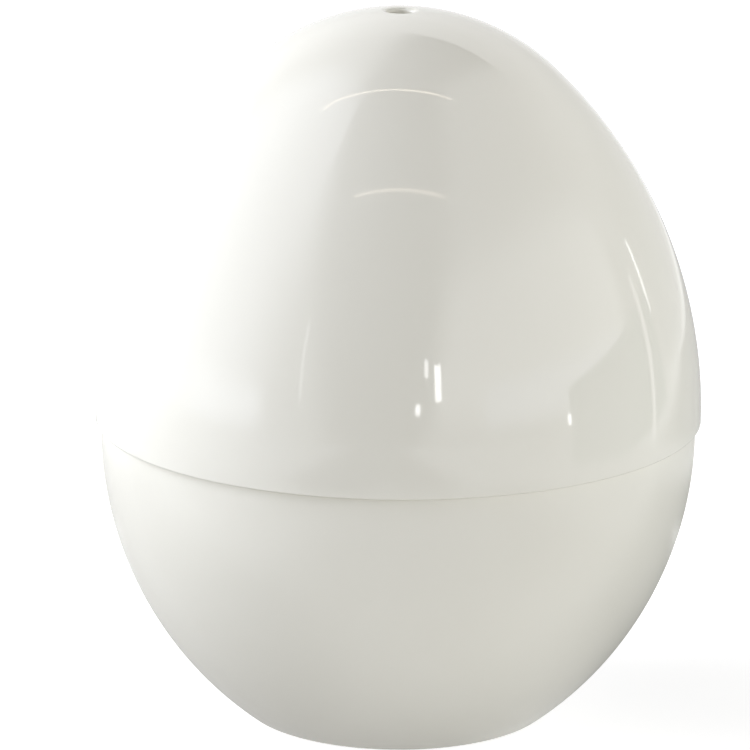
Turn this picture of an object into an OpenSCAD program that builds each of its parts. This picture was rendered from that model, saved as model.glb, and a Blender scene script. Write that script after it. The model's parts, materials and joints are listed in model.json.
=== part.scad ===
// Egg boiler for the microwave oven: an egg-shaped casing in two halves. The base holds water and a
// pressed tray with four egg cups, and the lid holds a spun reflector and locks with a twist.
// Millimetres, +Z up, origin at the middle of the foot.

/* [Casing] */
// Widest diameter of the lid
lid_d = 140; // [138:1:150]
// Height of the closed boiler
total_h = 165; // [160:1:175]
// Radius of the blunt top of the lid
crown_r = 52; // [48:1:56]
// Height of the lid's lower rim
seam_h = 70; // [68:1:74]
// How far the lid's rim stands out past the base
rim_proud = 1.3; // [0.8:0.1:1.5]
// Diameter of the foot that the bowl would have with a sharp edge
foot_d = 71; // [64:1:80]
// Open shadow line between the two halves
seam_gap = 0.5; // [0.3:0.1:0.8]
// Wall of the lid
lid_wall = 2.6; // [2.4:0.1:3]
// Wall of the base
base_wall = 2.6; // [2:0.1:3]
// Wall of the lid's skirt, round the bayonet
skirt_wall = 2.2; // [1.8:0.1:2.3]
// Depth of the recess under the foot
foot_recess = 1.2; // [0.8:0.1:2]
// Width of the ring that the boiler stands on
foot_ring_w = 4; // [3:0.5:6]

/* [Steam vent] */
// Diameter of the vent hole in the lid
vent_d = 6; // [4.4:0.2:6.6]
// Diameter of the dimple round the vent
dimple_d = 9; // [8:0.5:14]
// Depth of the dimple
dimple_depth = 0.9; // [0.5:0.1:1.2]
// Diameter of the boss that steadies the reflector
boss_d = 11; // [10:0.5:14]

/* [Bayonet] */
// Height of the base's collar above the seam
collar_h = 9; // [8:0.5:12]
// How far a lug stands out
lug_proud = 1.6; // [1.2:0.1:1.8]
// Thickness of a lug
lug_t = 2; // [1.6:0.1:2.4]
// Width of a lug on the collar, in degrees
collar_lug_angle = 28; // [20:1:32]
// Width of a lug in the lid, in degrees
lid_lug_angle = 24; // [16:1:26]
// Turn of the lid from open to locked, in degrees
lock_turn = 30; // [28:1:36]
// Length of the slant at the end of a lug that meets the other lug first
ramp_run = 5; // [3:0.5:7]
// Rise of that slant
ramp_rise = 0.7; // [0.4:0.1:1]

/* [Reflector] */
// Thickness of the spun sheet
reflector_t = 0.8; // [0.5:0.1:1]
// Space between the lid and the reflector
reflector_gap = 2.4; // [2:0.1:3]
// Diameter of the steam hole in the reflector
reflector_hole_d = 6.8; // [5:0.2:8]
// Thickness of the retaining ring
ring_t = 1.6; // [1.2:0.1:2.4]
// Gap in the split retaining ring
ring_split = 10; // [8:1:14]

/* [Egg tray] */
// Largest egg that the cups take, across
egg_d = 44; // [40:1:45]
// Depth of an egg cup
cup_depth = 16.5; // [14:0.5:18]
// Thickness of the pressed sheet
tray_t = 1; // [0.6:0.1:1.2]
// Drop of the tray's seat below the seam
tray_drop = 8; // [6:0.5:10]
// Diameter of the finger hole in the middle
finger_hole_d = 14; // [12:1:16]
// Depth of the edge that is turned down round the finger hole
finger_edge_h = 1.8; // [1.4:0.1:3]
// Diameter of a steam hole in the deck
steam_hole_d = 5; // [3:0.5:6]
// Diameter of the drain hole in a cup
drain_hole_d = 6; // [4:0.5:8]

/* [Base inside] */
// Number of ribs that carry the tray
rib_count = 8; // [6:1:12]
// Thickness of a rib
rib_t = 2; // [1.6:0.2:3]
// Height of the raised water line
water_h = 30; // [24:1:34]

/* [Hidden] */
$fn = 96;

// Cutters run this far past what they cut, and joined forms sink this far into each other
over = 1;
sunk = 0.8;

// Curves that run into each other cross by this hair, so that they meet in one clean edge
hair = 0.02;

// Clearances: beside the bayonet, over its lugs, round the ring and the tray, and at the boss
side_gap = 0.3;
lug_gap = 0.4;
ring_gap = 0.2;
tray_gap = 0.5;
boss_gap = 0.3;

// The lid's outline: a long side curve that runs into the round crown without a corner
lid_r = lid_d / 2;
lid_wide_above_rim = 1;
lid_wide_h = seam_h + lid_wide_above_rim;
crown_h = total_h - crown_r;
crown_rise = crown_h - lid_wide_h;
side_r = (pow(lid_r, 2) + pow(crown_rise, 2) - pow(crown_r, 2)) / (2 * (lid_r - crown_r));
side_c = [lid_r - side_r, lid_wide_h];
crown_c = [0, crown_h];
rim_corner_r = 0.6;

// The base's outline: one curve from the foot to its widest place, just below the seam
base_r = lid_r - rim_proud;
base_wide_below_rim = 3;
base_wide_h = seam_h - base_wide_below_rim;
shoulder_h = seam_h - seam_gap;
foot_run = base_r - foot_d / 2;
bowl_r = (pow(foot_run, 2) + pow(base_wide_h, 2)) / (2 * foot_run);
bowl_c = [base_r - bowl_r, base_wide_h];
foot_corner_r = 1.5;
shoulder_corner_r = 0.6;
floor_corner_r = 8;
floor_h = foot_recess + base_wall;

// The bayonet, from the skirt inwards
skirt_r = lid_r - skirt_wall;
collar_lug_r = skirt_r - side_gap;
collar_r = collar_lug_r - lug_proud;
collar_wall = 2.2;
collar_in_r = collar_r - collar_wall;
collar_top = seam_h + collar_h;
lid_lug_r = collar_r + side_gap;
lid_lug_above_rim = 1;
lid_lug_h = seam_h + lid_lug_above_rim;
collar_lug_h = lid_lug_h + lug_t + lug_gap;
lug_count = 3;
stop_angle = 3;
stop_gap_angle = 1;
lead_in = 0.5;

// The split ring lies between a bead and the step where the lid's wall gets thick
ring_r = skirt_r - ring_gap;
ring_top = collar_top + ring_t;
bead_hold = 0.5;
bead_r = ring_r - bead_hold;
bead_h = 1.4;
flange_r = lid_lug_r - side_gap;
reflector_inset = lid_wall + reflector_gap;

// The tray stands on its curled edge
tray_r = collar_in_r - tray_gap;
curl_r = 1.25;
tray_seat_h = seam_h - tray_drop;
deck_lift = 0.2;
deck_h = tray_seat_h + deck_lift;
deck_top = deck_h + tray_t;
egg_play = 1.5;
cup_r = egg_d / 2 + egg_play;
cup_c_h = deck_top + cup_r - cup_depth;
mouth_r = 1.5;
mouth_c_h = deck_h - mouth_r;
mouth_c_x = sqrt(pow(cup_r + tray_t + mouth_r, 2) - pow(cup_c_h - mouth_c_h, 2));
deck_web = 0.9;
cup_count = 4;
cup_ring_r = tray_r - 2 * curl_r - deck_web - mouth_c_x;
steam_edge = 14;
steam_ring_r = tray_r - steam_edge;
steam_step_angle = 9;

// The ribs reach in under the tray's curled edge, and run out in the curved wall below
rib_short_of_curl = 0.2;
rib_in_r = tray_r - 2 * curl_r + rib_short_of_curl;
rib_run_out = 4;
water_line_t = 0.8;
water_line_proud = 0.6;

// Centre of a corner circle at height h that lies against the inside of a circle at c
function corner_c(c, r, corner, h) = [c.x + sqrt(pow(r - corner, 2) - pow(h - c.y, 2)), h];

// Height at which that corner circle touches the big one
function touch_h(c, r, corner) = c.y + (corner.y - c.y) * r / norm(corner - c);

// Radius of a circle at c, where it is cut at height h
function cut_r(c, r, h) = c.x + sqrt(pow(r, 2) - pow(h - c.y, 2));

// A level band between two heights. Bands that meet at one height share that edge exactly.
module band(from, width, low, high) {
    intersection() {
        translate([from, low])
            square([width, 2 * total_h]);
        translate([from, high])
            mirror([0, 1])
                square([width, 2 * total_h]);
    }
}

// The part of a circle right of the axis, between two heights
module arc_slice(c, r, low, high) {
    intersection() {
        translate(c)
            circle(r);
        band(0, 2 * r, low, high);
    }
}

// All that lies inside a round corner's circle and towards the axis, between two heights
module corner_slice(corner, corner_r, low, high) {
    intersection() {
        translate(corner)
            circle(corner_r);
        band(corner.x, 2 * corner_r, low, high);
    }
    band(0, corner.x, low, high);
}

// Limit that rounds the lower corner of a circle cut at height low
module low_corner(c, r, corner_r, low) {
    corner = corner_c(c, r, corner_r, low + corner_r);
    blend_h = touch_h(c, r, corner);
    corner_slice(corner + [hair, 0], corner_r, low, blend_h);
    band(0, 2 * r, blend_h, total_h + over);
}

// Limit that rounds the upper corner of a circle cut at height high
module high_corner(c, r, corner_r, high) {
    corner = corner_c(c, r, corner_r, high - corner_r);
    blend_h = touch_h(c, r, corner);
    corner_slice(corner + [hair, 0], corner_r, blend_h, high);
    band(0, 2 * r, -over, blend_h);
}

// The egg's upper outline, moved in by inset, from height low up
module dome_section(inset, low) {
    blend_h = crown_h + (crown_r - inset) * crown_rise / (side_r - crown_r);
    intersection() {
        arc_slice(side_c, side_r - inset, low, total_h + over);
        union() {
            band(0, 2 * lid_r, low, blend_h);
            arc_slice(crown_c + [0, hair], crown_r - inset, blend_h, total_h + over);
        }
    }
}

// The lid's outline with its lower edge rounded
module lid_outline() {
    intersection() {
        dome_section(0, seam_h);
        low_corner(side_c, side_r, rim_corner_r, seam_h);
    }
}

// The base's outline with its foot and its shoulder rounded
module base_outline() {
    intersection() {
        arc_slice(bowl_c, bowl_r, 0, shoulder_h);
        low_corner(bowl_c, bowl_r, foot_corner_r, 0);
        high_corner(bowl_c, bowl_r, shoulder_corner_r, shoulder_h);
    }
}

// The space for water and tray: a curved bowl, then straight up so that the mould's core draws
module base_cavity_outline() {
    r = bowl_r - base_wall;
    intersection() {
        arc_slice(bowl_c, r, floor_h, base_wide_h);
        low_corner(bowl_c, r, floor_corner_r, floor_h);
        square([collar_in_r, base_wide_h]);
    }
    band(0, collar_in_r, base_wide_h, collar_top + over);
}

// A piece of a flat ring, from the first angle to the last
module ring_piece(r_in, r_out, from, to, h) {
    reach = 2 * r_out;
    linear_extrude(h)
        intersection() {
            difference() {
                circle(r_out);
                circle(r_in);
            }
            polygon([
                [0, 0],
                reach * [cos(from), sin(from)],
                reach * [cos(to), sin(to)]
            ]);
        }
}

// Copies at even angles round the axis
module around(count, first = 0) {
    for (i = [0:count - 1])
        rotate(first + i * 360 / count)
            children();
}

// Wedge that slants the end of a lug from below, so that the other lug slides past it
module ramp_wedge() {
    slope = ramp_rise / ramp_run;
    rotate([90, 0, 90])
        linear_extrude(lug_proud + 4 * sunk)
            polygon([
                [-ramp_run - over, -over * slope - over],
                [-ramp_run - over, -over * slope],
                [over, ramp_rise + over * slope],
                [over, -over * slope - over]
            ]);
}

// One lug of the collar, with the stop that ends the lid's turn
module collar_lug() {
    half = collar_lug_angle / 2;
    stop_from = -lid_lug_angle / 2 - stop_gap_angle - stop_angle;
    stop_low = shoulder_h - sunk;
    difference() {
        translate([0, 0, collar_lug_h])
            ring_piece(collar_r - sunk, collar_lug_r, -half, half, lug_t);
        rotate(half)
            translate([collar_r - 2 * sunk, 0, collar_lug_h])
                ramp_wedge();
    }
    translate([0, 0, stop_low])
        ring_piece(collar_r - sunk, collar_lug_r, stop_from, stop_from + stop_angle,
            collar_lug_h + lug_t - stop_low);
}

// One rib: it stands on the curved wall and carries the tray on its top
module tray_rib() {
    wall_h = bowl_c.y - sqrt(pow(bowl_r - base_wall, 2) - pow(rib_in_r - bowl_c.x, 2));
    rib_low = wall_h - rib_run_out;
    translate([rib_in_r, -rib_t / 2, rib_low])
        cube([base_r - rib_in_r, rib_t, tray_seat_h - rib_low]);
}

module base_shell() {
    water_r = cut_r(bowl_c, bowl_r - base_wall, water_h);
    color("ivory") {
        rotate_extrude() {
            difference() {
                union() {
                    base_outline();
                    band(0, collar_r, base_wide_h, collar_top);
                }
                base_cavity_outline();
                polygon([
                    [collar_r - lead_in, collar_top + over],
                    [collar_r - lead_in, collar_top],
                    [collar_r, collar_top - lead_in],
                    [collar_r + over, collar_top - lead_in],
                    [collar_r + over, collar_top + over]
                ]);
                translate([0, -over])
                    square([foot_d / 2 - foot_ring_w, foot_recess + over]);
            }
            translate([water_r - water_line_proud, water_h - water_line_t / 2])
                square([water_line_proud + sunk, water_line_t]);
        }
        around(lug_count, -lock_turn)
            collar_lug();
        intersection() {
            around(rib_count, 180 / rib_count)
                tray_rib();
            rotate_extrude()
                arc_slice(bowl_c, bowl_r - base_wall / 2, floor_h, tray_seat_h + over);
        }
    }
}

// One side of a cup's sheet, filled in to the axis: the round cup up to where the bend at its
// mouth takes over, and then the bend up to the deck
module cup_side(ball_r, bend_r, top) {
    mouth_c = [mouth_c_x, mouth_c_h];
    bend_low = touch_h([0, cup_c_h], ball_r, mouth_c);
    arc_slice([0, cup_c_h], ball_r, cup_c_h - 2 * cup_r, top);
    difference() {
        band(0, mouth_c_x, bend_low, top);
        translate(mouth_c)
            circle(bend_r + hair);
    }
}

// A form turned about the middle of each cup
module at_cups() {
    around(cup_count, 45)
        translate([cup_ring_r, 0, 0])
            rotate_extrude()
                children();
}

module egg_tray() {
    color("silver")
        difference() {
            union() {
                rotate_extrude() {
                    band(0, tray_r - curl_r, deck_h, deck_top);
                    translate([tray_r - curl_r, tray_seat_h + curl_r])
                        circle(curl_r);
                    band(0, finger_hole_d / 2 + tray_t, deck_top - finger_edge_h, deck_top);
                }
                at_cups()
                    cup_side(cup_r + tray_t, mouth_r, deck_h + tray_t / 2);
            }
            at_cups() {
                cup_side(cup_r, mouth_r + tray_t, deck_top + over);
                square([drain_hole_d / 2, cup_c_h]);
            }
            translate([0, 0, deck_top - finger_edge_h - over])
                cylinder(h = finger_edge_h + 2 * over, d = finger_hole_d);
            around(cup_count)
                for (step = [-1:1])
                    rotate(step * steam_step_angle)
                        translate([steam_ring_r, 0, deck_h - over])
                            cylinder(h = tray_t + 2 * over, d = steam_hole_d);
        }
}

module lid_reflector() {
    color("gainsboro")
        rotate_extrude()
            difference() {
                union() {
                    dome_section(reflector_inset, ring_top);
                    translate([0, ring_top])
                        square([flange_r, reflector_t]);
                }
                dome_section(reflector_inset + reflector_t, ring_top - over);
                square([reflector_hole_d / 2, total_h]);
            }
}

module retaining_ring() {
    color("white")
        translate([0, 0, collar_top])
            difference() {
                cylinder(h = ring_t, r = ring_r);
                translate([0, 0, -over])
                    cylinder(h = ring_t + 2 * over, r = collar_in_r);
                translate([0, -ring_split / 2, -over])
                    cube([lid_r, ring_split, ring_t + 2 * over]);
            }
}

// One lug of the lid. Its leading end slants from above.
module lid_lug() {
    half = lid_lug_angle / 2;
    difference() {
        ring_piece(lid_lug_r, skirt_r + sunk, -half, half, lug_t);
        rotate(-half)
            translate([lid_lug_r - sunk, 0, lug_t])
                mirror([0, 1, 0])
                    mirror([0, 0, 1])
                        ramp_wedge();
    }
}

// The lid's inside: a bore for the bayonet and the ring, a step, and the curved wall above it
module lid_cavity_outline() {
    difference() {
        dome_section(lid_wall, ring_top);
        difference() {
            translate([0, crown_h])
                square([boss_d / 2, crown_r]);
            dome_section(reflector_inset - boss_gap, crown_h - over);
        }
    }
    band(0, skirt_r, seam_h - over, ring_top);
    polygon([
        [skirt_r - sunk, seam_h - over],
        [skirt_r + lead_in, seam_h - over],
        [skirt_r + lead_in, seam_h],
        [skirt_r, seam_h + lead_in],
        [skirt_r - sunk, seam_h + lead_in]
    ]);
}

module lid_shell() {
    dimple_r = (pow(dimple_d / 2, 2) + pow(dimple_depth, 2)) / (2 * dimple_depth);
    color("ivory") {
        rotate_extrude() {
            difference() {
                lid_outline();
                lid_cavity_outline();
                arc_slice([0, total_h - dimple_depth + dimple_r], dimple_r, crown_h, total_h + over);
                translate([0, crown_h])
                    square([vent_d / 2, crown_r + over]);
            }
            polygon([
                [skirt_r + sunk, collar_top - bead_h],
                [skirt_r, collar_top - bead_h],
                [bead_r, collar_top - bead_h / 3],
                [bead_r, collar_top],
                [skirt_r + sunk, collar_top]
            ]);
        }
        translate([0, 0, lid_lug_h])
            around(lug_count)
                lid_lug();
    }
}

base_shell();
egg_tray();
lid_reflector();
retaining_ring();
lid_shell();
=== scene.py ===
"""Looks of a microwave egg boiler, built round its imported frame.

The casing is two spun plastic shells, a high-gloss lid and a semi-gloss base. Inside are a pressed
egg tray, a spun reflector and the split ring that holds the reflector in the lid. Everything is in
metres and in the frame's own axes. Outer sizes come from the frame, and the inner ones from walls,
radii and clearances that each class names.
"""

from __future__ import annotations

import json
import logging
import math
from contextlib import contextmanager
from dataclasses import dataclass
from enum import Enum
from typing import Any, Callable, Iterator, Mapping, Sequence

import bmesh
import bpy
from mathutils import Matrix, Vector

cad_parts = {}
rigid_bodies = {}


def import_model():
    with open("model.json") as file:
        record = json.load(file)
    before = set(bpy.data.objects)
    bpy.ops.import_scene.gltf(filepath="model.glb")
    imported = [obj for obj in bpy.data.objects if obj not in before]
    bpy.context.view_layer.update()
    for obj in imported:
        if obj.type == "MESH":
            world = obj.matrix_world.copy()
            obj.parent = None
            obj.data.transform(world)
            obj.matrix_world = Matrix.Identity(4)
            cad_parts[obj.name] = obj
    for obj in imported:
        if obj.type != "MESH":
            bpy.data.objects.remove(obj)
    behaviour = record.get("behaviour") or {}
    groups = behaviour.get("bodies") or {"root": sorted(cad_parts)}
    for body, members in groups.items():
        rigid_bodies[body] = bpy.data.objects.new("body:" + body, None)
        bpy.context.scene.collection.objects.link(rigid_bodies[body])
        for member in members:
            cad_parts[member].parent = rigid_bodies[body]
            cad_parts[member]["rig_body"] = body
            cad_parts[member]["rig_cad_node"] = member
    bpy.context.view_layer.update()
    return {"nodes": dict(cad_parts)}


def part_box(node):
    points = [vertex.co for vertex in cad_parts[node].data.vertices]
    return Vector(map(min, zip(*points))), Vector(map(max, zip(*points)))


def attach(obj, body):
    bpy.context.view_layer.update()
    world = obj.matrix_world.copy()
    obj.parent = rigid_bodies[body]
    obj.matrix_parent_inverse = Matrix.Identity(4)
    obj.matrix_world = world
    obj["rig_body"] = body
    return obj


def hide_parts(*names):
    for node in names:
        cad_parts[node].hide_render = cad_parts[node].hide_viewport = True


LOG = logging.getLogger("egg_boiler")

# Lengths in metres, angles in radians

MM = 0.001
FULL_TURN = 2 * math.pi
SPIN_STEPS = 360
MERGE_WITHIN = 0.001 * MM
SMOOTH_BELOW = math.radians(32)
NORMAL_WEIGHT = 60
QUAD_FOLD = 0.3
QUAD_SKEW = 1.2
CLOUD_EDGES = (0.3, 0.7)

Point = tuple[float, float]
Colour = tuple[float, float, float]


class Body(Enum):
    """The frame's bodies that pieces ride on."""

    BASE = "base"
    REFLECTOR = "reflector"
    LID = "lid"


class Slot(Enum):
    """The record's material slots."""

    LID = "lid_plastic"
    BASE = "base_plastic"
    RING = "ring_plastic"
    TRAY = "pressed_aluminium"
    REFLECTOR = "spun_aluminium"


class Grain(Enum):
    """How the marks of making run over a metal sheet."""

    ROLLED = "along the sheet"
    SPUN = "round the axis"


class Holder(Enum):
    """What holds a node tree: Blender's list of such things, and its type of output node."""

    MATERIAL = ("materials", "ShaderNodeOutputMaterial")
    WORLD = ("worlds", "ShaderNodeOutputWorld")


# Shader arithmetic


class Wire:
    """An output socket that takes part in arithmetic, each step of which adds a Math node."""

    def __init__(self, recipe: "Recipe", socket: bpy.types.NodeSocket) -> None:
        """Keep the socket and the recipe whose tree it is in."""
        self.recipe = recipe
        self.socket = socket

    def _math(self, operation: str, *values: Any) -> "Wire":
        """Add one Math node that works on these values and return its result."""
        node = self.recipe.node("ShaderNodeMath", {"operation": operation}, dict(enumerate(values)))
        return Wire(self.recipe, node.outputs[0])

    def __add__(self, other: Any) -> "Wire":
        """Sum of the two."""
        return self._math("ADD", self, other)

    __radd__ = __add__

    def __sub__(self, other: Any) -> "Wire":
        """This less the other."""
        return self._math("SUBTRACT", self, other)

    def __rsub__(self, other: Any) -> "Wire":
        """The other less this."""
        return self._math("SUBTRACT", other, self)

    def __mul__(self, other: Any) -> "Wire":
        """Product of the two."""
        return self._math("MULTIPLY", self, other)

    __rmul__ = __mul__

    def __abs__(self) -> "Wire":
        """Size without sign."""
        return self._math("ABSOLUTE", self)

    def highest(self, other: Any) -> "Wire":
        """The larger of the two."""
        return self._math("MAXIMUM", self, other)

    def ramp(self, low: float, high: float) -> "Wire":
        """Rise smoothly from 0 at low to 1 at high.

        Args:
            low: value at which the rise starts.
            high: value at which it ends.

        Returns:
            The smooth step.
        """
        node = self.recipe.node(
            "ShaderNodeMapRange",
            {"interpolation_type": "SMOOTHSTEP", "clamp": True},
            {"Value": self, "From Min": low, "From Max": high, "To Min": 0.0, "To Max": 1.0},
        )
        return Wire(self.recipe, node.outputs[0])


class Recipe:
    """The node tree of a material or a world, written from its output back to its patterns."""

    def __init__(self, name: str, holder: Holder = Holder.MATERIAL) -> None:
        """Start an empty node tree.

        Args:
            name: name of the material or world.
            holder: which of the two it is.
        """
        library, self.output = holder.value
        self.owner = getattr(bpy.data, library).new(name)
        self.owner.use_nodes = True
        self.tree = self.owner.node_tree
        self.tree.nodes.clear()

    def node(
        self,
        kind: str,
        settings: Mapping[str, Any] | None = None,
        sockets: Mapping[str | int, Any] | None = None,
    ) -> bpy.types.Node:
        """Add one node.

        Args:
            kind: Blender's name for the type of node.
            settings: what is set on the node itself, before its sockets.
            sockets: a value or a Wire for each input, by name or number.

        Returns:
            The new node.
        """
        made = self.tree.nodes.new(kind)
        for key, value in (settings or {}).items():
            setattr(made, key, value)
        for key, value in (sockets or {}).items():
            if isinstance(value, Wire):
                self.tree.links.new(value.socket, made.inputs[key])
            else:
                made.inputs[key].default_value = value
        return made

    def wire(self, node: bpy.types.Node, output: str | int = 0) -> Wire:
        """Take one output of a node as a Wire."""
        return Wire(self, node.outputs[output])

    def place(self, stretch: tuple[float, float, float] = (1.0, 1.0, 1.0)) -> Wire:
        """Object coordinates, multiplied along each axis.

        Args:
            stretch: factor along X, Y and Z.

        Returns:
            The coordinates.
        """
        spot = self.wire(self.node("ShaderNodeTexCoord"), "Object")
        moved = self.node("ShaderNodeMapping", {"vector_type": "POINT"}, {"Vector": spot, "Scale": stretch})
        return self.wire(moved)

    def axis_part(self, place: Wire, axis: str) -> Wire:
        """One coordinate, X, Y or Z, of a place."""
        return self.wire(self.node("ShaderNodeSeparateXYZ", None, {0: place}), axis)

    def noise(self, place: Wire, scale: float, detail: float = 2.0, roughness: float = 0.5) -> Wire:
        """Cloudy noise between 0 and 1.

        Args:
            place: coordinates that it reads.
            scale: cells for each metre.
            detail: number of finer layers.
            roughness: strength of the finer layers.

        Returns:
            The noise.
        """
        made = self.node(
            "ShaderNodeTexNoise",
            {"noise_dimensions": "3D"},
            {"Vector": place, "Scale": scale, "Detail": detail, "Roughness": roughness},
        )
        return self.wire(made, "Fac")

    def mix(self, share: Wire, first: Colour, second: Colour) -> Wire:
        """Colour between two, by a share from 0 to 1.

        Args:
            share: 0 for the first colour, 1 for the second.
            first: the first colour.
            second: the second colour.

        Returns:
            The colour.
        """
        made = self.node(
            "ShaderNodeMix",
            {"data_type": "RGBA"},
            {"Factor": share, "A": (*first, 1.0), "B": (*second, 1.0)},
        )
        return self.wire(made, "Result")

    def bump(self, height: Wire, depth: float, under: Wire | None = None) -> Wire:
        """Tilt the surface by a height map.

        Args:
            height: heights between 0 and 1.
            depth: metres between 0 and 1.
            under: an earlier bump that this one lies on.

        Returns:
            The normal.
        """
        sockets: dict[str | int, Any] = {"Height": height, "Distance": depth, "Strength": 1.0}
        if under is not None:
            sockets["Normal"] = under
        return self.wire(self.node("ShaderNodeBump", None, sockets))

    def between(self, share: Wire, first: bpy.types.Node, second: bpy.types.Node) -> bpy.types.Node:
        """Mix two shaders by a share that is 0 for the first and 1 for the second."""
        return self.node("ShaderNodeMixShader", None, {0: share, 1: self.wire(first), 2: self.wire(second)})

    def shade(self, shader: bpy.types.Node) -> bpy.types.Material | bpy.types.World:
        """Join a shader to the output and return the finished material or world."""
        self.node(self.output, None, {"Surface": self.wire(shader)})
        return self.owner


# Finishes


@dataclass(frozen=True)
class PlasticFinish:
    """Injection-moulded plastic: clouded colour, a moulded grain and the mould's slow waviness."""

    name: str
    pale: Colour
    deep: Colour
    roughness: float
    roughness_spread: float
    grain_depth: float
    wave_depth: float
    cloud_scale: float = 28.0
    grain_scale: float = 2600.0
    wave_scale: float = 34.0
    refraction: float = 1.49

    def material(self) -> bpy.types.Material:
        """Write the plastic's node tree.

        Returns:
            The material.
        """
        recipe = Recipe(self.name)
        place = recipe.place()
        cloud = recipe.noise(place, self.cloud_scale, detail=3.0)
        grain = recipe.noise(place, self.grain_scale, detail=1.0)
        wave = recipe.noise(place, self.wave_scale, detail=0.0)
        waviness = recipe.bump(wave, self.wave_depth)
        shader = recipe.node(
            "ShaderNodeBsdfPrincipled",
            None,
            {
                "Base Color": recipe.mix(cloud.ramp(*CLOUD_EDGES), self.deep, self.pale),
                "Roughness": (cloud - 0.5) * self.roughness_spread + self.roughness,
                "IOR": self.refraction,
                "Normal": recipe.bump(grain, self.grain_depth, waviness),
            },
        )
        return recipe.shade(shader)


@dataclass(frozen=True)
class MetalFinish:
    """Bare aluminium sheet with the fine lines that rolling or spinning leaves."""

    name: str
    pale: Colour
    deep: Colour
    grain: Grain
    roughness: float = 0.26
    roughness_spread: float = 0.16
    line_scale: float = 900.0
    line_depth: float = 0.006 * MM
    rolled_stretch: tuple[float, float, float] = (0.03, 1.0, 1.0)
    cloud_scale: float = 45.0
    cloud_roughness: float = 0.08

    def lines(self, recipe: Recipe) -> Wire:
        """Noise that is drawn out along the marks of making.

        Args:
            recipe: the material's node tree.

        Returns:
            Lines between 0 and 1.
        """
        if self.grain is Grain.ROLLED:
            return recipe.noise(recipe.place(self.rolled_stretch), self.line_scale, detail=3.0)
        place = recipe.place()
        flat = recipe.node("ShaderNodeVectorMath", {"operation": "MULTIPLY"}, {0: place, 1: (1.0, 1.0, 0.0)})
        reach = recipe.node("ShaderNodeVectorMath", {"operation": "LENGTH"}, {0: recipe.wire(flat)})
        rings = recipe.node(
            "ShaderNodeCombineXYZ",
            None,
            {"X": recipe.wire(reach, "Value"), "Z": recipe.axis_part(place, "Z")},
        )
        return recipe.noise(recipe.wire(rings), self.line_scale, detail=3.0)

    def material(self) -> bpy.types.Material:
        """Write the metal's node tree.

        Returns:
            The material.
        """
        recipe = Recipe(self.name)
        lines = self.lines(recipe)
        cloud = recipe.noise(recipe.place(), self.cloud_scale, detail=4.0)
        worn = (cloud - 0.5) * self.cloud_roughness
        shader = recipe.node(
            "ShaderNodeBsdfPrincipled",
            None,
            {
                "Base Color": recipe.mix(cloud.ramp(*CLOUD_EDGES), self.deep, self.pale),
                "Metallic": 1.0,
                "Roughness": (lines - 0.5) * self.roughness_spread + self.roughness + worn,
                "Normal": recipe.bump(lines, self.line_depth),
            },
        )
        return recipe.shade(shader)


LID_GLOSS = PlasticFinish(
    name="lid_gloss",
    pale=(0.800, 0.780, 0.697),
    deep=(0.792, 0.771, 0.687),
    roughness=0.055,
    roughness_spread=0.03,
    grain_depth=0.00004 * MM,
    wave_depth=0.004 * MM,
)
BASE_SATIN = PlasticFinish(
    name="base_satin",
    pale=(0.800, 0.780, 0.697),
    deep=(0.788, 0.767, 0.683),
    roughness=0.24,
    roughness_spread=0.06,
    grain_depth=0.0006 * MM,
    wave_depth=0.004 * MM,
)
RING_MATT = PlasticFinish(
    name="ring_matt",
    pale=(0.790, 0.785, 0.750),
    deep=(0.770, 0.764, 0.726),
    roughness=0.42,
    roughness_spread=0.1,
    grain_depth=0.002 * MM,
    wave_depth=0.0,
)
TRAY_METAL = MetalFinish("tray_aluminium", (0.86, 0.86, 0.86), (0.78, 0.78, 0.785), Grain.ROLLED)
REFLECTOR_METAL = MetalFinish("reflector_aluminium", (0.88, 0.88, 0.88), (0.80, 0.80, 0.805), Grain.SPUN)


# Drawing a section and turning it into a solid


@dataclass(frozen=True)
class Circle:
    """A circle in the radial section: x is its centre's distance from the axis, z its height."""

    x: float
    z: float
    r: float

    def inset(self, wall: float) -> "Circle":
        """The circle that lies one wall further in."""
        return Circle(self.x, self.z, self.r - wall)

    def width_at(self, height: float) -> float:
        """Distance of the outer side from the axis, at a height."""
        return self.x + math.sqrt(self.r**2 - (height - self.z) ** 2)

    def height_at(self, width: float) -> float:
        """Height of the upper side, at a distance from the axis."""
        return self.z + math.sqrt(self.r**2 - (width - self.x) ** 2)

    def low_at(self, width: float) -> float:
        """Height of the lower side, at a distance from the axis."""
        return self.z - math.sqrt(self.r**2 - (width - self.x) ** 2)

    def arc(self, start: Point, end: Point, step: float) -> list[Point]:
        """Points along the circle from one point on it to another, the short way round.

        Args:
            start: first point.
            end: last point.
            step: longest distance between two points.

        Returns:
            The points, with both ends.
        """
        first = math.atan2(start[1] - self.z, start[0] - self.x)
        swing = math.atan2(end[1] - self.z, end[0] - self.x) - first
        swing = (swing + math.pi) % FULL_TURN - math.pi
        count = max(2, math.ceil(abs(swing) * self.r / step))
        angles = [first + swing * i / count for i in range(count + 1)]
        return [(self.x + self.r * math.cos(a), self.z + self.r * math.sin(a)) for a in angles]


def crossing(low: Circle, high: Circle) -> Point:
    """The point right of the axis where two circles centred on the axis cross.

    Args:
        low: the circle with the lower centre.
        high: the circle with the higher centre.

    Returns:
        The crossing.
    """
    gap = high.z - low.z
    rise = (low.r**2 - high.r**2 + gap**2) / (2 * gap)
    return math.sqrt(low.r**2 - rise**2), low.z + rise


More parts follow.
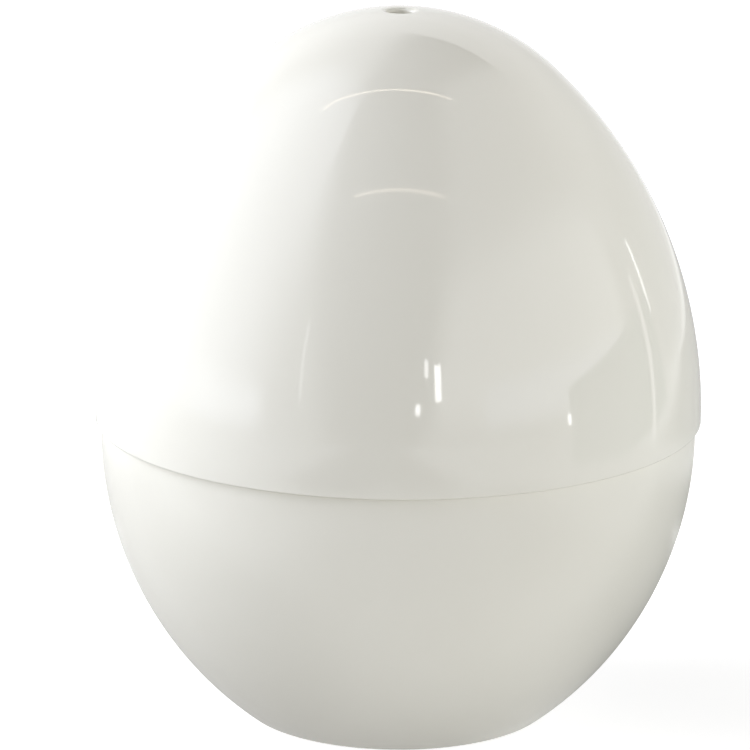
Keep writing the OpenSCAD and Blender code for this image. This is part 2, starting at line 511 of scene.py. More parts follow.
def rounded(before: Point, corner: Point, after: Point, radius: float, pieces: int = 5) -> list[Point]:
    """Replace a corner by an arc that touches both of its sides.

    Args:
        before: the point before the corner.
        corner: the corner itself.
        after: the point after it.
        radius: radius of the arc.
        pieces: number of straight pieces that stand for the arc.

    Returns:
        The arc's points.
    """
    at = Vector(corner)
    back = (Vector(before) - at).normalized()
    ahead = (Vector(after) - at).normalized()
    half = back.angle(ahead) / 2
    centre = at + (back + ahead).normalized() * (radius / math.sin(half))
    start = at + back * (radius / math.tan(half)) - centre
    end = at + ahead * (radius / math.tan(half)) - centre
    swing = start.angle_signed(end)
    turned = [start @ Matrix.Rotation(swing * i / pieces, 2) for i in range(pieces + 1)]
    return [tuple(centre + point) for point in turned]


class Section:
    """The outline of a turned piece, drawn point by point in the radial plane."""

    def __init__(self) -> None:
        """Start with no points."""
        self.points: list[Point] = []
        self.rounds: dict[int, float] = {}

    def to(self, width: float, height: float, rounding: float = 0.0) -> "Section":
        """Go straight to a point, which may be a rounded corner.

        Args:
            width: the point's distance from the axis.
            height: its height.
            rounding: radius of the corner, or 0 for a sharp one.

        Returns:
            This section, to be drawn further.
        """
        if rounding:
            self.rounds[len(self.points)] = rounding
        self.points.append((width, height))
        return self

    def through(self, points: Sequence[Point]) -> "Section":
        """Go straight from each of these points to the next, and return this section."""
        self.points.extend(points)
        return self

    def outline(self) -> list[Point]:
        """All points in order, with the corners rounded.

        Returns:
            The points.
        """
        done: list[Point] = []
        for i, point in enumerate(self.points):
            if i in self.rounds:
                after = self.points[(i + 1) % len(self.points)]
                done.extend(rounded(self.points[i - 1], point, after, self.rounds[i]))
            else:
                done.append(point)
        return done


def choose(thing: bpy.types.Object) -> None:
    """Deselect everything, then select this object and make it the active one.

    Args:
        thing: the object.
    """
    if bpy.context.object is not None and bpy.context.object.mode != "OBJECT":
        bpy.ops.object.mode_set(mode="OBJECT")
    bpy.ops.object.select_all(action="DESELECT")
    thing.hide_set(False)
    thing.select_set(True)
    bpy.context.view_layer.objects.active = thing


@contextmanager
def editing(thing: bpy.types.Object) -> Iterator[bmesh.types.BMesh]:
    """Open an object in edit mode with nothing selected, and close it again.

    Args:
        thing: the mesh object.

    Yields:
        Its mesh as it is edited, for selecting by place.
    """
    choose(thing)
    bpy.ops.object.mode_set(mode="EDIT")
    bpy.ops.mesh.select_mode(type="FACE")
    bpy.ops.mesh.select_all(action="DESELECT")
    yield bmesh.from_edit_mesh(thing.data)
    bpy.ops.object.mode_set(mode="OBJECT")


def select_faces(mesh: bmesh.types.BMesh, wanted: Callable[[bmesh.types.BMFace], bool]) -> None:
    """Select just the faces that a test picks.

    Args:
        mesh: the mesh in edit mode.
        wanted: the test.
    """
    for face in mesh.faces:
        face.select = wanted(face)
    mesh.select_flush(True)


def select_edges(mesh: bmesh.types.BMesh, wanted: Callable[[float, float], bool]) -> None:
    """Select just the edges whose ends both pass a test on their X and Z.

    Args:
        mesh: the mesh in edit mode.
        wanted: the test.
    """
    bpy.ops.mesh.select_all(action="DESELECT")
    for edge in mesh.edges:
        edge.select = all(wanted(end.co.x, end.co.z) for end in edge.verts)
    mesh.select_flush(True)


def join_ends(thing: bpy.types.Object) -> None:
    """Close an open chain of edges by one more edge, and select it all.

    Args:
        thing: the chain, in edit mode.
    """
    drawn = bmesh.from_edit_mesh(thing.data)
    ends = [vertex for vertex in drawn.verts if len(vertex.link_edges) == 1]
    bpy.ops.mesh.select_all(action="DESELECT")
    for vertex in ends:
        vertex.select = True
    drawn.select_flush(True)
    bpy.ops.mesh.edge_face_add()
    bpy.ops.mesh.select_all(action="SELECT")


def turn_section(name: str, section: Section, closed: bool = True) -> bpy.types.Object:
    """Draw a section with one vertex that is extruded along it, and spin it round the axis.

    Args:
        name: name of the new object.
        section: the outline.
        closed: whether its last point joins the first; if not, both lie on the axis.

    Returns:
        The turned solid, at the origin, with its faces outwards.
    """
    outline = section.outline()
    bpy.ops.object.select_all(action="DESELECT")
    bpy.ops.mesh.primitive_plane_add(size=MM)
    thing = bpy.context.object
    thing.name = thing.data.name = name
    with editing(thing):
        bpy.ops.mesh.select_mode(type="VERT")
        bpy.ops.mesh.select_all(action="SELECT")
        bpy.ops.mesh.merge(type="CENTER")
        bpy.ops.transform.translate(value=(outline[0][0], 0, outline[0][1]))
        for here, there in zip(outline, outline[1:]):
            step = (there[0] - here[0], 0, there[1] - here[1])
            bpy.ops.mesh.extrude_region_move(TRANSFORM_OT_translate={"value": step})
        bpy.ops.mesh.select_all(action="SELECT")
        if closed:
            join_ends(thing)
        bpy.ops.mesh.spin(steps=SPIN_STEPS, angle=FULL_TURN, center=(0, 0, 0), axis=(0, 0, 1))
        bpy.ops.mesh.select_all(action="SELECT")
        bpy.ops.mesh.remove_doubles(threshold=MERGE_WITHIN)
        bpy.ops.mesh.normals_make_consistent(inside=False)
    return thing


def bearing(face: bmesh.types.BMFace) -> float:
    """Direction of a face's middle as seen from the axis, in degrees from +X, from 0 to 360."""
    middle = face.calc_center_median()
    return math.degrees(math.atan2(middle.y, middle.x)) % 360


def within(angle: float, low: float, high: float) -> bool:
    """Whether a bearing lies between two others, going counterclockwise, in degrees."""
    return (angle - low) % 360 <= (high - low) % 360


def push_radially(factor: float) -> None:
    """Extrude the selected faces and move them to a new radius round the axis."""
    bpy.ops.mesh.extrude_region_move()
    bpy.ops.transform.resize(value=(factor, factor, 1), center_override=(0, 0, 0), orient_type="GLOBAL")


def finish_shading(thing: bpy.types.Object) -> None:
    """Shade smoothly below the crease angle, with normals that follow the large faces.

    Args:
        thing: the finished mesh.
    """
    choose(thing)
    bpy.ops.object.shade_smooth_by_angle(angle=SMOOTH_BELOW)
    bpy.ops.object.modifier_add(type="WEIGHTED_NORMAL")
    weighting = thing.modifiers[-1]
    weighting.keep_sharp = True
    weighting.weight = NORMAL_WEIGHT
    bpy.ops.object.modifier_apply(modifier=weighting.name)


def put_in_place(
    thing: bpy.types.Object,
    material: bpy.types.Material,
    body: Body,
    slot: Slot,
    *nodes: str,
) -> None:
    """Dress a finished piece, let it ride on its body and stand for its nodes.

    Args:
        thing: the piece.
        material: its finish.
        body: what it moves with.
        slot: the record's slot for its finish; not used.
        nodes: the frame's nodes that it replaces.
    """
    thing.data.materials.clear()
    thing.data.materials.append(material)
    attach(thing, body.value)
    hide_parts(*nodes)
    LOG.info("%s: %d faces, on %s", thing.name, len(thing.data.polygons), body.value)


# The egg's own form


@dataclass(frozen=True)
class EggForm:
    """The egg's outline in the radial section, from the frame's boxes and a few sizes of its own."""

    lid_r: float
    lid_low: float
    collar_top: float
    height: float = 165 * MM
    crown_r: float = 52 * MM
    foot_r: float = 35.5 * MM
    rim_proud: float = 1.3 * MM
    wide_above_rim: float = 1 * MM
    wide_below_rim: float = 3 * MM
    seam_gap: float = 0.5 * MM

    @classmethod
    def from_frame(cls) -> "EggForm":
        """Take the lid's radius, the seam and the collar's top from the frame's boxes."""
        lid_low, lid_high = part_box("lid_shell")
        return cls(lid_r=lid_high.x, lid_low=lid_low.z, collar_top=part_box("base_shell")[1].z)

    @property
    def shoulder_h(self) -> float:
        """Height of the base's shoulder, one seam gap below the lid."""
        return self.lid_low - self.seam_gap

    @property
    def crown(self) -> Circle:
        """The blunt top of the lid."""
        return Circle(0.0, self.height - self.crown_r, self.crown_r)

    @property
    def side(self) -> Circle:
        """The lid's flank, from its widest height up to the crown."""
        wide_h = self.lid_low + self.wide_above_rim
        rise = self.crown.z - wide_h
        side_r = (self.lid_r**2 + rise**2 - self.crown_r**2) / (2 * (self.lid_r - self.crown_r))
        return Circle(self.lid_r - side_r, wide_h, side_r)

    @property
    def bowl(self) -> Circle:
        """The base's flank, from its widest height down to the foot."""
        wide_r, wide_h = self.lid_r - self.rim_proud, self.lid_low - self.wide_below_rim
        run = wide_r - self.foot_r
        bowl_r = (run**2 + wide_h**2) / (2 * run)
        return Circle(wide_r - bowl_r, wide_h, bowl_r)

    def blend(self, inset: float) -> Point:
        """Where the side curve runs into the crown, one inset further in.

        Args:
            inset: how far inside the outer surface.

        Returns:
            The point where the two arcs meet.
        """
        slope = (self.crown.z - self.side.z) / (self.side.r - self.crown.r)
        height = self.crown.z + (self.crown.r - inset) * slope
        return self.crown.inset(inset).width_at(height), height


@dataclass(frozen=True)
class Bayonet:
    """How the base's collar fits in the lid's skirt, from the collar outwards and from the seam up.

    Angles and bearings are in degrees.
    """

    form: EggForm
    collar_r: float = 65.9 * MM
    skirt_wall: float = 2.2 * MM
    side_gap: float = 0.3 * MM
    lug_proud: float = 1.6 * MM
    lug_t: float = 2 * MM
    lug_gap: float = 0.4 * MM
    collar_wall: float = 2.2 * MM
    lid_lug_above_rim: float = 1 * MM
    lead_in: float = 0.5 * MM
    lid_lug_half_angle: float = 12.0
    lid_lug_bearings: tuple[float, ...] = (0.0, 120.0, 240.0)
    collar_lug_half_angle: float = 14.0
    collar_lug_bearings: tuple[float, ...] = (90.0, 210.0, 330.0)
    stop_gap_angle: float = 1.0
    stop_angle: float = 3.0

    @property
    def skirt_r(self) -> float:
        """Inner radius of the lid's skirt."""
        return self.form.lid_r - self.skirt_wall

    @property
    def collar_lug_r(self) -> float:
        """Outer radius of the collar's lugs."""
        return self.collar_r + self.lug_proud

    @property
    def collar_in_r(self) -> float:
        """Inner radius of the collar."""
        return self.collar_r - self.collar_wall

    @property
    def lid_lug_r(self) -> float:
        """Inner radius of the lid's lugs."""
        return self.collar_r + self.side_gap

    @property
    def lid_lug_low(self) -> float:
        """Height at which the lid's lugs start."""
        return self.form.lid_low + self.lid_lug_above_rim

    @property
    def collar_lug_low(self) -> float:
        """Height at which the collar's lugs start."""
        return self.lid_lug_low + self.lug_t + self.lug_gap

    @property
    def stop_to(self) -> float:
        """Where a stop ends, in degrees from the middle of its collar lug."""
        return -(self.lid_lug_half_angle + self.stop_gap_angle)

    @property
    def stop_from(self) -> float:
        """Where a stop begins, in degrees from the middle of its collar lug."""
        return self.stop_to - self.stop_angle


@dataclass
class LidShell:
    """The upper half of the egg: one moulding with the vent, the boss, the skirt and its lugs.

    Names that end in _step are the longest sides of the pieces that stand for a curve.
    """

    fit: Bayonet
    wall: float = 2.6 * MM
    vent_r: float = 3 * MM
    dimple_r: float = 4.5 * MM
    dimple_depth: float = 0.9 * MM
    rim_drop: float = 0.35 * MM
    boss_r: float = 5.5 * MM
    reflector_gap: float = 2.4 * MM
    boss_gap: float = 0.3 * MM
    ring_t: float = 1.6 * MM
    ring_gap: float = 0.2 * MM
    bead_hold: float = 0.5 * MM
    bead_h: float = 1.4 * MM
    rim_round: float = 0.35 * MM
    dimple_round: float = 1.1 * MM
    lip_round: float = 0.9 * MM
    vent_foot_round: float = 0.2 * MM
    boss_round: float = 0.3 * MM
    boss_root_round: float = 0.5 * MM
    side_step: float = 2.2 * MM
    crown_step: float = 1.6 * MM
    dimple_step: float = 0.5 * MM
    inner_crown_step: float = 2.5 * MM
    inner_side_step: float = 3 * MM

    def outside(self) -> Section:
        """Draw the outside of the wall, from its rim over the top and down through the vent.

        Returns:
            The section so far.
        """
        form, drawn = self.fit.form, Section()
        low = form.lid_low - self.rim_drop
        ball_r = (self.dimple_r**2 + self.dimple_depth**2) / (2 * self.dimple_depth)
        dimple = Circle(0.0, form.height - self.dimple_depth + ball_r, ball_r)
        edge = crossing(form.crown, dimple)
        blend = form.blend(0)
        lip = (self.vent_r, dimple.low_at(self.vent_r))
        first = (form.side.width_at(low), low)
        drawn.to(*first, rounding=self.rim_round)
        drawn.through(form.side.arc(first, blend, self.side_step)[1:])
        drawn.through(form.crown.arc(blend, edge, self.crown_step)[1:-1])
        drawn.to(*edge, rounding=self.dimple_round)
        drawn.through(dimple.arc(edge, lip, self.dimple_step)[1:-1])
        return drawn.to(*lip, rounding=self.lip_round)

    def section(self) -> Section:
        """Draw the lid's wall, from the outside of its rim over the top and down the inside.

        Returns:
            The closed section.
        """
        form, fit, drawn = self.fit.form, self.fit, self.outside()
        low, top = form.lid_low - self.rim_drop, form.collar_top
        ring_top = top + self.ring_t
        bead_r = fit.collar_lug_r + fit.side_gap - self.ring_gap - self.bead_hold
        boss = form.crown.inset(self.wall + self.reflector_gap - self.boss_gap)
        inner_crown, inner_side = form.crown.inset(self.wall), form.side.inset(self.wall)
        inner_blend = form.blend(self.wall)
        root = (self.boss_r, inner_crown.height_at(self.boss_r))
        step = (inner_side.width_at(ring_top), ring_top)
        drawn.to(self.vent_r, boss.height_at(self.vent_r), rounding=self.vent_foot_round)
        drawn.to(self.boss_r, boss.height_at(self.boss_r), rounding=self.boss_round)
        drawn.to(*root, rounding=self.boss_root_round)
        drawn.through(inner_crown.arc(root, inner_blend, self.inner_crown_step)[1:-1])
        drawn.through(inner_side.arc(inner_blend, step, self.inner_side_step)[:-1])
        drawn.to(*step).to(fit.skirt_r, ring_top)
        drawn.to(fit.skirt_r, top).to(bead_r, top).to(bead_r, top - self.bead_h / 3)
        drawn.to(fit.skirt_r, top - self.bead_h)
        drawn.to(fit.skirt_r, fit.lid_lug_low + fit.lug_t).to(fit.skirt_r, fit.lid_lug_low)
        return drawn.to(fit.skirt_r, low + fit.lead_in).to(fit.skirt_r + fit.lead_in, low)

    def is_lug(self, face: bmesh.types.BMFace) -> bool:
        """Whether a face of the bare skirt lies where a lug stands on it.

        Args:
            face: the face.

        Returns:
            True where it does.
        """
        fit, middle = self.fit, face.calc_center_median()
        in_band = fit.lid_lug_low < middle.z < fit.lid_lug_low + fit.lug_t
        inwards = face.normal.xy.dot(middle.xy) < 0
        half = fit.lid_lug_half_angle
        around = any(within(bearing(face), b - half, b + half) for b in fit.lid_lug_bearings)
        return in_band and inwards and around

    def build(self) -> None:
        """Turn the wall, extrude the three lugs and dress the lid."""
        shell = turn_section("lid_moulding", self.section())
        with editing(shell) as mesh:
            select_faces(mesh, self.is_lug)
            push_radially(self.fit.lid_lug_r / self.fit.skirt_r)
        finish_shading(shell)
        put_in_place(shell, LID_GLOSS.material(), Body.LID, Slot.LID, "lid_shell")


@dataclass
class BaseShell:
    """The lower half of the egg: one moulding with foot, collar, lugs, ribs and water line.

    A face is upright when its normal rises or falls by less than upright_tilt, and slack is the
    room that a face's middle has when it is compared with a radius.
    """

    fit: Bayonet
    wall: float = 2.6 * MM
    foot_recess: float = 1.2 * MM
    foot_ring_w: float = 4 * MM
    water_h: float = 30 * MM
    water_line_t: float = 0.8 * MM
    water_line_proud: float = 0.6 * MM
    tray_drop: float = 8 * MM
    tray_gap: float = 0.5 * MM
    tray_curl_d: float = 2.5 * MM
    rib_short_of_curl: float = 0.2 * MM
    rib_count: int = 8
    rib_t: float = 2 * MM
    rib_low: float = 37 * MM
    rib_toe: float = 0.6 * MM
    rib_round: float = 0.5 * MM
    rib_round_segments: int = 3
    floor_round: float = 6 * MM
    shoulder_round: float = 0.4 * MM
    foot_round: float = 1.5 * MM
    edge_round: float = 0.3 * MM
    inner_step: float = 2.5 * MM
    outer_step: float = 2.2 * MM
    upright_tilt: float = 0.5
    slack: float = 0.1 * MM

    @property
    def rib_in_r(self) -> float:
        """Where the ribs' inner edges stand, just inside the curl of the tray that they carry."""
        return self.fit.collar_in_r - self.tray_gap - self.tray_curl_d + self.rib_short_of_curl

    @property
    def rib_top(self) -> float:
        """Height at which the tray rests on the ribs."""
        return self.fit.form.lid_low - self.tray_drop

    def inside(self) -> Section:
        """Draw the inside of the wall, from the middle of the floor up to the collar.

        Returns:
            The section so far.
        """
        drawn, inner = Section(), self.fit.form.bowl.inset(self.wall)
        floor_h = self.foot_recess + self.wall
        round_top = floor_h + self.floor_round
        line_low, line_high = (self.water_h + side * self.water_line_t / 2 for side in (-1, 1))
        line_r = inner.width_at(self.water_h) - self.water_line_proud
        floor_r = inner.width_at(floor_h)
        first = (inner.width_at(round_top), round_top)
        below = (inner.width_at(line_low), line_low)
        above = (inner.width_at(line_high), line_high)
        straight = (self.fit.collar_in_r, inner.low_at(self.fit.collar_in_r))
        drawn.to(0.0, floor_h).to(floor_r / 2, floor_h).to(floor_r, floor_h, rounding=self.floor_round)
        drawn.through(inner.arc(first, below, self.inner_step))
        drawn.to(line_r, line_low).to(line_r, line_high)
        return drawn.through(inner.arc(above, straight, self.inner_step))

    def section(self) -> Section:
        """Draw the base's wall, from the middle of its floor up the inside and down the outside.

        Returns:
            The section, open at the axis.
        """
        form, fit, drawn = self.fit.form, self.fit, self.inside()
        top, collar_r = form.collar_top, fit.collar_r
        shoulder = (form.bowl.width_at(form.shoulder_h), form.shoulder_h)
        foot = (form.foot_r, 0.0)
        ring_r = form.foot_r - self.foot_ring_w
        drawn.to(fit.collar_in_r, top, rounding=self.edge_round)
        drawn.to(collar_r - fit.lead_in, top).to(collar_r, top - fit.lead_in)
        drawn.to(collar_r, fit.collar_lug_low + fit.lug_t).to(collar_r, fit.collar_lug_low)
        drawn.to(collar_r, form.shoulder_h)
        drawn.to(*shoulder, rounding=self.shoulder_round)
        drawn.through(form.bowl.arc(shoulder, foot, self.outer_step)[1:-1])
        drawn.to(*foot, rounding=self.foot_round)
        drawn.to(ring_r, 0.0, rounding=self.edge_round)
        drawn.to(ring_r, self.foot_recess, rounding=self.edge_round)
        return drawn.to(0.0, self.foot_recess)

    def is_lug(self, face: bmesh.types.BMFace) -> bool:
        """Whether a face of the bare collar lies where a lug or its stop stands on it.

        Args:
            face: the face.

        Returns:
            True where it does.
        """
        fit, middle, angle = self.fit, face.calc_center_median(), bearing(face)
        outwards = face.normal.xy.dot(middle.xy) > 0 and abs(face.normal.z) <= self.upright_tilt
        in_band = fit.form.shoulder_h < middle.z < fit.collar_lug_low + fit.lug_t
        on_collar = middle.xy.length <= fit.collar_r + self.slack
        if not (outwards and in_band and on_collar):
            return False
        half, high = fit.collar_lug_half_angle, middle.z > fit.collar_lug_low
        return any(
            (high and within(angle, b - half, b + half)) or within(angle, b + fit.stop_from, b + fit.stop_to)
            for b in fit.collar_lug_bearings
        )

    def rib(self, number: int) -> bpy.types.Object:
        """Shape one rib from a block: its foot runs out in the curved wall.

        Args:
            number: which rib, counted from the first one past +X.

        Returns:
            The rib, turned to its bearing.
        """
        bpy.ops.object.select_all(action="DESELECT")
        bpy.ops.mesh.primitive_cube_add(size=1)
        rib = bpy.context.object
        rib.name = f"rib_{number}"
        depth = self.fit.form.bowl.inset(self.wall / 2).width_at(self.rib_top) - self.rib_in_r
        tall = self.rib_top - self.rib_low
        with editing(rib) as mesh:
            bpy.ops.mesh.select_all(action="SELECT")
            bpy.ops.transform.resize(value=(depth, self.rib_t, tall), center_override=(0, 0, 0))
            middle = (self.rib_in_r + depth / 2, 0, self.rib_low + tall / 2)
            bpy.ops.transform.translate(value=middle)
            bpy.ops.mesh.select_mode(type="EDGE")
            select_edges(mesh, lambda x, z: z < self.rib_top - MM and x > self.rib_in_r + MM)
            bpy.ops.transform.translate(value=(self.rib_toe - depth, 0, 0))
            select_edges(mesh, lambda x, z: z > self.rib_top - MM and x < self.rib_in_r + MM)
            bpy.ops.mesh.bevel(offset=self.rib_round, segments=self.rib_round_segments, affect="EDGES")
            bpy.ops.mesh.select_all(action="SELECT")
            turn = FULL_TURN * (number + 0.5) / self.rib_count
            bpy.ops.transform.rotate(
                value=-turn, orient_axis="Z", orient_type="GLOBAL", center_override=(0, 0, 0)
            )
        return rib

    def build(self) -> None:
        """Turn the wall, extrude lugs and stops, join the ribs and dress the base."""
        shell = turn_section("base_moulding", self.section(), closed=False)
        with editing(shell) as mesh:
            select_faces(mesh, self.is_lug)
            push_radially(self.fit.collar_lug_r / self.fit.collar_r)
        ribs = [self.rib(i) for i in range(self.rib_count)]
        choose(shell)
        for rib in ribs:
            rib.select_set(True)
        bpy.ops.object.join()
        finish_shading(shell)
        put_in_place(shell, BASE_SATIN.material(), Body.BASE, Slot.BASE, "base_shell")


@dataclass(frozen=True)
class InnerPiece:
    """A piece inside the egg that keeps its solid's form, as one welded and smooth mesh."""

    node: str
    name: str
    body: Body
    slot: Slot
    finish: PlasticFinish | MetalFinish

    def build(self, nodes: Mapping[str, bpy.types.Object]) -> None:
        """Copy the solid, weld its triangles, smooth it and dress it.

        Args:
            nodes: the frame's nodes by name.
        """
        choose(nodes[self.node])
        bpy.ops.object.duplicate()
        piece = bpy.context.object
        piece.name = piece.data.name = self.name
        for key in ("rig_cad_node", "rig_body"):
            del piece[key]
        piece.parent = None
        if piece.data.has_custom_normals:
            bpy.ops.mesh.customdata_custom_splitnormals_clear()
        with editing(piece):
            bpy.ops.mesh.select_all(action="SELECT")
            bpy.ops.mesh.remove_doubles(threshold=MERGE_WITHIN)
            bpy.ops.mesh.tris_convert_to_quads(face_threshold=QUAD_FOLD, shape_threshold=QUAD_SKEW)
        finish_shading(piece)
        put_in_place(piece, self.finish.material(), self.body, self.slot, self.node)


INNER_PIECES = (
    InnerPiece("egg_tray", "tray_pressing", Body.BASE, Slot.TRAY, TRAY_METAL),
    InnerPiece("lid_reflector", "reflector_spinning", Body.REFLECTOR, Slot.REFLECTOR, REFLECTOR_METAL),
    InnerPiece("retaining_ring", "ring_moulding", Body.LID, Slot.RING, RING_MATT),
)


# The studio

COOL: Colour = (0.97, 1.0, 1.08)
GREENISH: Colour = (0.88, 1.0, 0.98)
WARM: Colour = (1.0, 0.86, 0.72)
ABOVE_FLOOR = 0.5 * MM


@dataclass(frozen=True)
class SoftCard:
    """A lit or black card that faces the egg, or lies flat on the floor.

    Angles are in degrees and lengths in metres. Bearings run from the camera's side, to the right. A
    flat card's distance is that of its middle from the egg's axis, its height runs away from the egg,
    and a small elevation lifts it clear of a card that it overlaps.
    """

    name: str
    bearing: float
    elevation: float
    distance: float
    width: float
    height: float
    strength: float
    tint: Colour = (1.0, 1.0, 1.0)
    fade: float = 0.3
    turn: float = 0.0
    flat: bool = False

    def material(self) -> bpy.types.Material:
        """Light that fades out towards the card's edges.

        Returns:
            The material.
        """
        recipe = Recipe(self.name)
        place = recipe.place()
        across = abs(recipe.axis_part(place, "X"))
        upright = abs(recipe.axis_part(place, "Y"))
        soft = self.fade * min(self.width, self.height) / 2
        inside = across.ramp(self.width / 2, self.width / 2 - soft) * upright.ramp(
            self.height / 2, self.height / 2 - soft
        )
        sockets = {"Color": (*self.tint, 1.0), "Strength": self.strength}
        light = recipe.node("ShaderNodeEmission", None, sockets)
        clear = recipe.node("ShaderNodeBsdfTransparent")
        return recipe.shade(recipe.between(inside, clear, light))

    def build(self, middle: Vector) -> None:
        """Hang the card so that it faces a point in the egg, or lay it on the floor.

        Args:
            middle: the point that it faces.
        """
        side, lift = math.radians(self.bearing), math.radians(self.elevation)
        away = Vector((math.sin(side) * math.cos(lift), -math.cos(side) * math.cos(lift), math.sin(lift)))
        bpy.ops.object.select_all(action="DESELECT")
        bpy.ops.mesh.primitive_plane_add(size=1)
        card = bpy.context.object
        card.name = self.name
        card.scale = (self.width, self.height, 1)
        bpy.ops.object.transform_apply(location=False, rotation=False, scale=True)
        if self.flat:
            card.rotation_euler = (0.0, 0.0, side)
            card.location = Vector((0.0, 0.0, ABOVE_FLOOR)) + away * self.distance
        else:
            turned = Matrix.Rotation(math.radians(self.turn), 3, "Z").to_quaternion()
            card.rotation_euler = (away.to_track_quat("Z", "Y") @ turned).to_euler()
            card.location = middle + away * self.distance
        card.data.materials.append(self.material())
        card.visible_camera = False
        card.visible_shadow = False


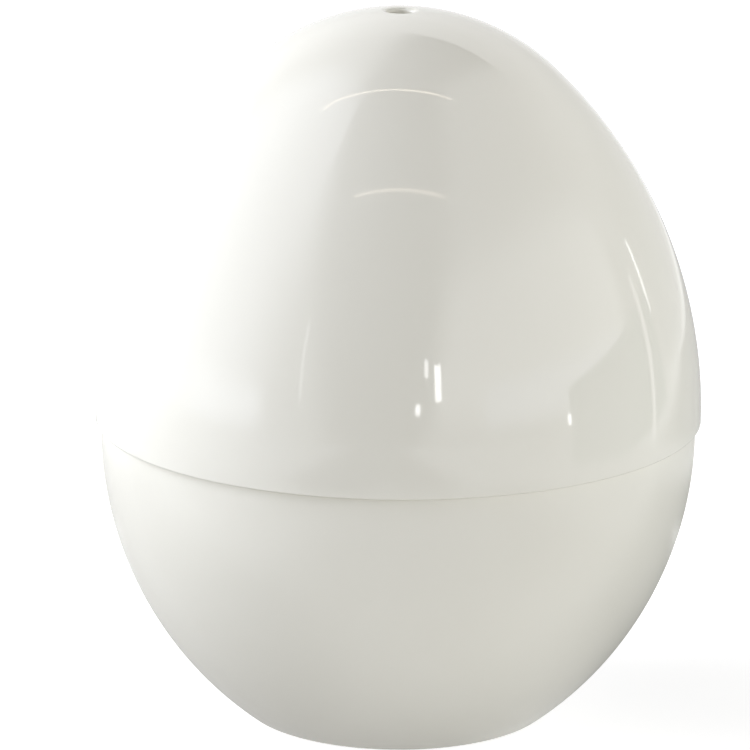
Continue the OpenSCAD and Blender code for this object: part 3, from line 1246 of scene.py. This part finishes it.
@dataclass
class Studio:
    """The pale floor, the soft light and the camera.

    The floor is seen floor_lift brighter than its paper, and world_light is the fill that comes from
    all sides.
    """

    floor_radius: float = 1.0
    floor_sides: int = 96
    floor_colour: Colour = (0.62, 0.62, 0.61)
    floor_lift: float = 0.7
    world_colour: Colour = (1.0, 1.0, 1.0)
    world_light: float = 0.02
    camera_place: Vector = Vector((0.0, -1.16667, 0.39384))
    camera_target: Vector = Vector((-0.0054, 0.0, 0.0791))
    camera_roll: float = 0.3
    focal_pixels: float = 5230.8
    frame_pixels: float = 750.0
    sensor_mm: float = 36.0
    near_clip: float = 0.05
    light_middle: Vector = Vector((0.0, 0.0, 0.085))
    # Each card: name, bearing, elevation, distance, width, height, strength, and what isn't plain
    cards: tuple[SoftCard, ...] = (
        SoftCard("flag_front", -8, 38, 0.98, 1.15, 3.4, 0.0, fade=0.5),
        SoftCard("flag_top", 156, 63, 0.99, 0.66, 1.4, 0.0, fade=0.6),
        SoftCard("dark_floor_front", -8, 0, 0.82, 0.42, 1.15, 0.1, fade=0.4, flat=True),
        SoftCard("glow_floor_near", 22, 0, 0.21, 0.34, 0.3, 0.78, fade=0.5, flat=True),
        SoftCard("dark_floor_left", -128, 0, 0.117, 0.3, 0.326, 0.52, fade=0.3, flat=True),
        SoftCard("dark_floor_right", 135, 0, 0.12, 0.3, 0.26, 0.27, fade=0.5, flat=True),
        SoftCard("grey_floor_right", 152, 0.1, 0.45, 0.6, 0.56, 0.53, fade=0.4, flat=True),
        SoftCard("window_left", -82, 30, 1.0, 1.7, 2.5, 2.55, COOL, fade=0.75),
        SoftCard("lamp_left", -110, 21, 0.97, 0.7, 0.5, 8.2, COOL, fade=0.6),
        SoftCard("panel_right", 56, 19, 1.0, 2.15, 0.95, 1.97, fade=0.6),
        SoftCard("shade_right", 87, -3, 0.36, 0.34, 0.135, 0.7, GREENISH, fade=0.1, turn=7),
        SoftCard("panel_back", 160, 40, 1.0, 2.7, 0.7, 1.2, fade=0.6),
        SoftCard("shade_back", 140, 8, 0.8, 0.8, 0.5, 0.82, fade=0.6),
        SoftCard("bounce_right", 60, 4, 0.4, 0.5, 0.12, 2.45, COOL, fade=0.8),
        SoftCard("bounce_left", -64, 1, 0.45, 0.3, 0.13, 3.55, COOL, fade=1.0),
        SoftCard("tube_front", 0, 56.6, 0.9, 0.56, 0.014, 5.0, WARM, fade=0.5),
        SoftCard("tube_overhead", -65, 85, 0.9, 0.014, 0.82, 9.0, WARM, fade=0.5, turn=-27),
        SoftCard("glint_tall", 14.5, 10, 0.9, 0.042, 0.14, 14.0),
        SoftCard("glint_thin", 10.3, 13.5, 0.9, 0.024, 0.07, 9.0),
        SoftCard("glint_low", 7, 4, 0.8, 0.03, 0.04, 12.0),
        SoftCard("glint_warm", 62, -3, 0.4, 0.022, 0.018, 12.0),
        SoftCard("gap_left", -36, 13, 0.9, 0.012, 0.28, 4.0),
        SoftCard("gap_right_high", 113, 10, 0.5, 0.014, 0.1, 5.0, turn=-6),
        SoftCard("gap_right_low", 103, 0, 0.35, 0.016, 0.17, 2.0, turn=-3),
    )

    def seen(self, recipe: Recipe) -> Wire:
        """Tell the rays that see the background straight, in a reflection or through glass.

        Args:
            recipe: the node tree that asks.

        Returns:
            1 for such rays, 0 for others.
        """
        path = recipe.node("ShaderNodeLightPath")
        camera, glossy, through = (
            recipe.wire(path, name) for name in ("Is Camera Ray", "Is Glossy Ray", "Is Transmission Ray")
        )
        return camera.highest(glossy).highest(through)

    def floor(self) -> None:
        """Lay a pale round floor that looks white and keeps the egg's shadow."""
        bpy.ops.object.select_all(action="DESELECT")
        bpy.ops.mesh.primitive_circle_add(
            vertices=self.floor_sides, radius=self.floor_radius, fill_type="NGON"
        )
        floor = bpy.context.object
        floor.name = "floor"
        recipe = Recipe("floor_paper")
        paper = recipe.node("ShaderNodeBsdfDiffuse", None, {"Color": (*self.floor_colour, 1.0)})
        glow = recipe.node("ShaderNodeEmission", None, {"Strength": self.floor_lift})
        both = recipe.node("ShaderNodeAddShader", None, {0: recipe.wire(paper), 1: recipe.wire(glow)})
        floor.data.materials.append(recipe.shade(recipe.between(self.seen(recipe), paper, both)))

    def world(self) -> None:
        """White where it is seen, and an even fill light elsewhere."""
        recipe = Recipe("studio", Holder.WORLD)
        fill, white = (
            recipe.node("ShaderNodeBackground", None, {"Color": (*self.world_colour, 1.0), "Strength": light})
            for light in (self.world_light, 1.0)
        )
        bpy.context.scene.world = recipe.shade(recipe.between(self.seen(recipe), fill, white))

    def camera(self) -> None:
        """Put the camera where the photograph was taken from."""
        bpy.ops.object.select_all(action="DESELECT")
        bpy.ops.object.camera_add(location=self.camera_place)
        camera = bpy.context.object
        camera.name = "camera"
        camera.data.sensor_width = self.sensor_mm
        camera.data.lens = self.sensor_mm * self.focal_pixels / self.frame_pixels
        camera.data.clip_start = self.near_clip
        look = (self.camera_target - self.camera_place).to_track_quat("-Z", "Y")
        roll = Matrix.Rotation(math.radians(self.camera_roll), 3, "Z").to_quaternion()
        camera.rotation_euler = (look @ roll).to_euler()
        bpy.context.scene.camera = camera

    def build(self) -> None:
        """Set up camera, world, floor and cards, and the plain view transform."""
        self.camera()
        self.world()
        self.floor()
        for card in self.cards:
            card.build(self.light_middle)
        bpy.context.scene.view_settings.view_transform = "Standard"


def main() -> None:
    logging.basicConfig(level=logging.INFO, format="%(name)s: %(message)s")
    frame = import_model()
    Studio().build()
    fit = Bayonet(EggForm.from_frame())
    LidShell(fit).build()
    BaseShell(fit).build()
    for piece in INNER_PIECES:
        piece.build(frame["nodes"])
    bpy.ops.object.select_all(action="DESELECT")


if __name__ == "__main__":
    main()
